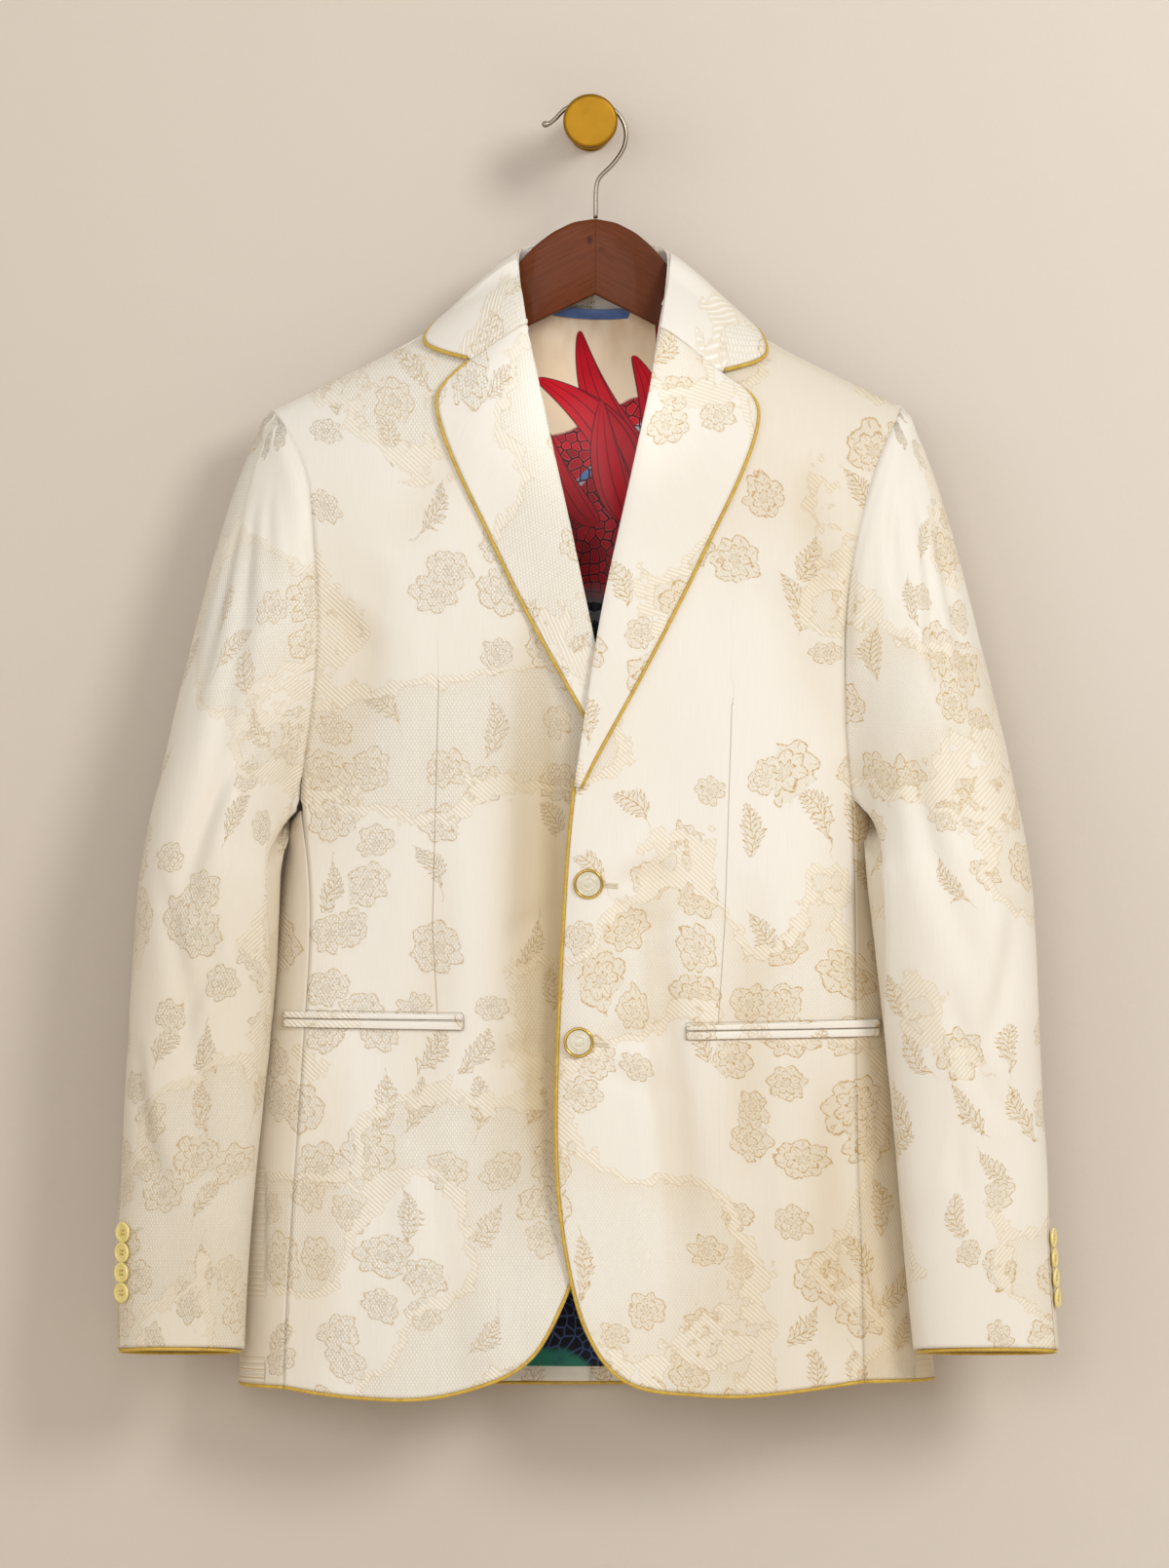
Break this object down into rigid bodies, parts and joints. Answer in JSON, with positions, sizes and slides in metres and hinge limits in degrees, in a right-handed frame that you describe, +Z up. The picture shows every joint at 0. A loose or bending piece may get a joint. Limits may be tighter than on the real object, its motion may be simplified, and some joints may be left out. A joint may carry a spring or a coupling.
{
  "type": "blazer on a wooden hanger on a wall peg",
  "caption": "Piped single-breasted jacquard blazer with notch lapels and welt pockets, hanging buttoned on a wooden hanger from a round brass wall peg.",
  "frame": {"origin": "centre of the peg's flat wall plate, where it meets the wall", "axes": "+Z up, +Y into the wall, +X towards the wearer's left sleeve"},
  "size_m": [0.6567, 0.1439, 0.9086],
  "materials": {
    "ivory_cloth": "ivory satin-ground jacquard",
    "lining_satin": "printed lining satin",
    "gold_piping": "gold bias-covered cord",
    "blue_ribbon": "blue satin ribbon",
    "pearl_button": "pearl face in a gold-toned rim",
    "cuff_button": "glossy butter yellow",
    "mahogany": "polished dark wood",
    "hook_steel": "satin wire",
    "peg_brass": "satin brass"
  },
  "bodies": {
    "root": {"front_right": "ivory_cloth", "back_right": "ivory_cloth", "side_right": "ivory_cloth", "front_left": "ivory_cloth", "back_left": "ivory_cloth", "side_left": "ivory_cloth", "top_sleeve_right": "ivory_cloth", "under_sleeve_right": "ivory_cloth", "top_sleeve_left": "ivory_cloth", "under_sleeve_left": "ivory_cloth", "lapel_right": "ivory_cloth", "lapel_left": "ivory_cloth", "collar_fall": "ivory_cloth", "collar_stand": "ivory_cloth", "lining_back": "lining_satin", "hanging_loop": "blue_ribbon", "pocket_right_upper_welt": "ivory_cloth", "pocket_right_lower_welt": "ivory_cloth", "pocket_left_upper_welt": "ivory_cloth", "pocket_left_lower_welt": "ivory_cloth", "piping_lapel_right": "gold_piping", "piping_front_right": "gold_piping", "piping_lapel_left": "gold_piping", "piping_front_left": "gold_piping", "piping_collar": "gold_piping", "piping_hem_back": "gold_piping", "piping_cuff_right": "gold_piping", "piping_cuff_left": "gold_piping", "button_front_upper": "pearl_button", "button_front_lower": "pearl_button", "button_cuff_right_1": "cuff_button", "button_cuff_right_2": "cuff_button", "button_cuff_right_3": "cuff_button", "button_cuff_right_4": "cuff_button", "button_cuff_left_1": "cuff_button", "button_cuff_left_2": "cuff_button", "button_cuff_left_3": "cuff_button", "button_cuff_left_4": "cuff_button", "hanger_wood": "mahogany", "hanger_hook": "hook_steel", "wall_peg": "peg_brass"}
  },
  "joints": []
}
